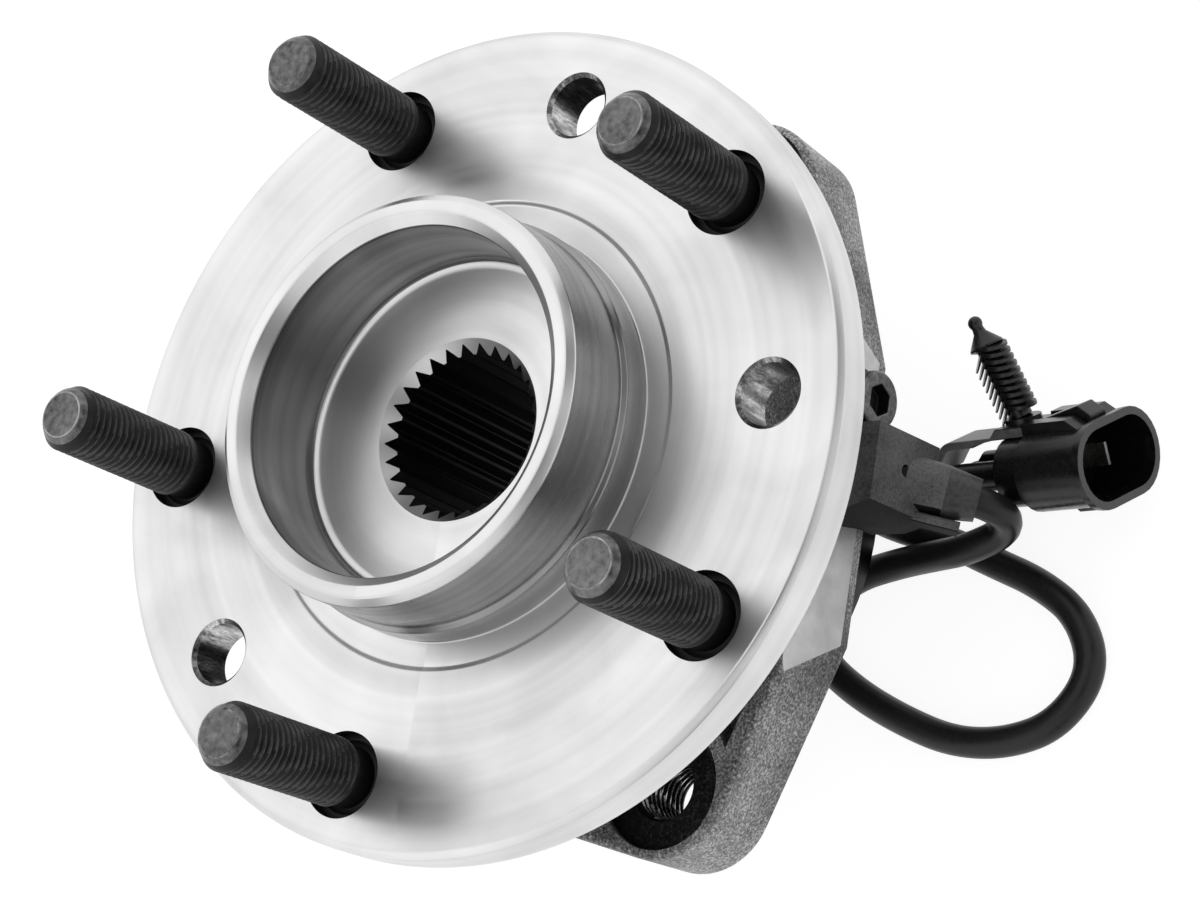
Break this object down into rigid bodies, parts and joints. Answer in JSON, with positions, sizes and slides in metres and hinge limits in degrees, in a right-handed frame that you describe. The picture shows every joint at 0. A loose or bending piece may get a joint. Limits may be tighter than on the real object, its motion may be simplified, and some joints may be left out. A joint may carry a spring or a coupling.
{
  "type": "wheel hub bearing",
  "caption": "Driven wheel hub bearing: studded wheel flange with pilot and splined bore, ball bearing in an eared housing, speed sensor with lead and plug.",
  "frame": {"origin": "centre of the wheel-mounting face, on the hub axis", "axes": "+Z along the hub axis out of the wheel face, towards the wheel; the speed sensor is on the -Y side"},
  "size_m": [0.1444, 0.1677, 0.1044],
  "materials": {
    "turned_steel": "turned satin steel, fine circular lathe marks",
    "bearing_steel": "ground and polished bearing steel",
    "cast_iron": "rough forged and shot-blasted, machined on its seats",
    "phosphated_steel": "black phosphated screw steel",
    "cage_nylon": "natural glass-filled nylon",
    "seal_steel": "pressed zinc-plated sheet",
    "seal_rubber": "moulded nitrile rubber",
    "sensor_nylon": "black glass-filled nylon, fine grain",
    "lead_rubber": "smooth black jacket",
    "plug_nylon": "black moulded nylon, satin to glossy",
    "contact_tin": "tin-plated contact",
    "brass": "turned brass",
    "silicone": "moulded silicone"
  },
  "bodies": {
    "housing": {"bearing_housing": "cast_iron", "outboard_seal_case": "seal_steel", "outboard_seal_lips": "seal_rubber", "inboard_seal_case": "seal_steel", "inboard_seal_lips": "seal_rubber", "sensor_body": "sensor_nylon", "sensor_probe": "sensor_nylon", "sensor_o_ring": "seal_rubber", "sensor_bushing": "brass", "sensor_screw": "phosphated_steel", "sensor_boot": "lead_rubber", "sensor_lead": "lead_rubber", "lead_core_1": "lead_rubber", "lead_core_2": "lead_rubber", "wire_seal_1": "silicone", "wire_seal_2": "silicone", "plug_body": "plug_nylon", "contact_blade_1": "contact_tin", "contact_blade_2": "contact_tin", "clip_holder": "plug_nylon", "fir_tree_clip": "plug_nylon"},
    "hub": {"wheel_hub": "turned_steel", "wheel_stud_1": "phosphated_steel", "wheel_stud_2": "phosphated_steel", "wheel_stud_3": "phosphated_steel", "wheel_stud_4": "phosphated_steel", "wheel_stud_5": "phosphated_steel", "inboard_inner_ring": "bearing_steel", "tone_ring": "phosphated_steel", "slinger": "seal_steel"},
    "outboard_cage": {"outboard_cage": "cage_nylon", "outboard_balls": "bearing_steel"},
    "inboard_cage": {"inboard_cage": "cage_nylon", "inboard_balls": "bearing_steel"}
  },
  "joints": [
    {"name": "hub_spin", "type": "hinge", "parent": "housing", "child": "hub", "pos_m": [0, 0, 0], "axis": [0, 0, 1], "continuous": true},
    {"name": "outboard_cage_orbit", "type": "hinge", "parent": "housing", "child": "outboard_cage", "pos_m": [0, 0, -0.026], "axis": [0, 0, 1], "continuous": true},
    {"name": "inboard_cage_orbit", "type": "hinge", "parent": "housing", "child": "inboard_cage", "pos_m": [0, 0, -0.05], "axis": [0, 0, 1], "continuous": true}
  ],
  "couplings": [
    {"joint": "outboard_cage_orbit", "follows": "hub_spin", "ratio": 0.4263},
    {"joint": "inboard_cage_orbit", "follows": "hub_spin", "ratio": 0.4263}
  ]
}
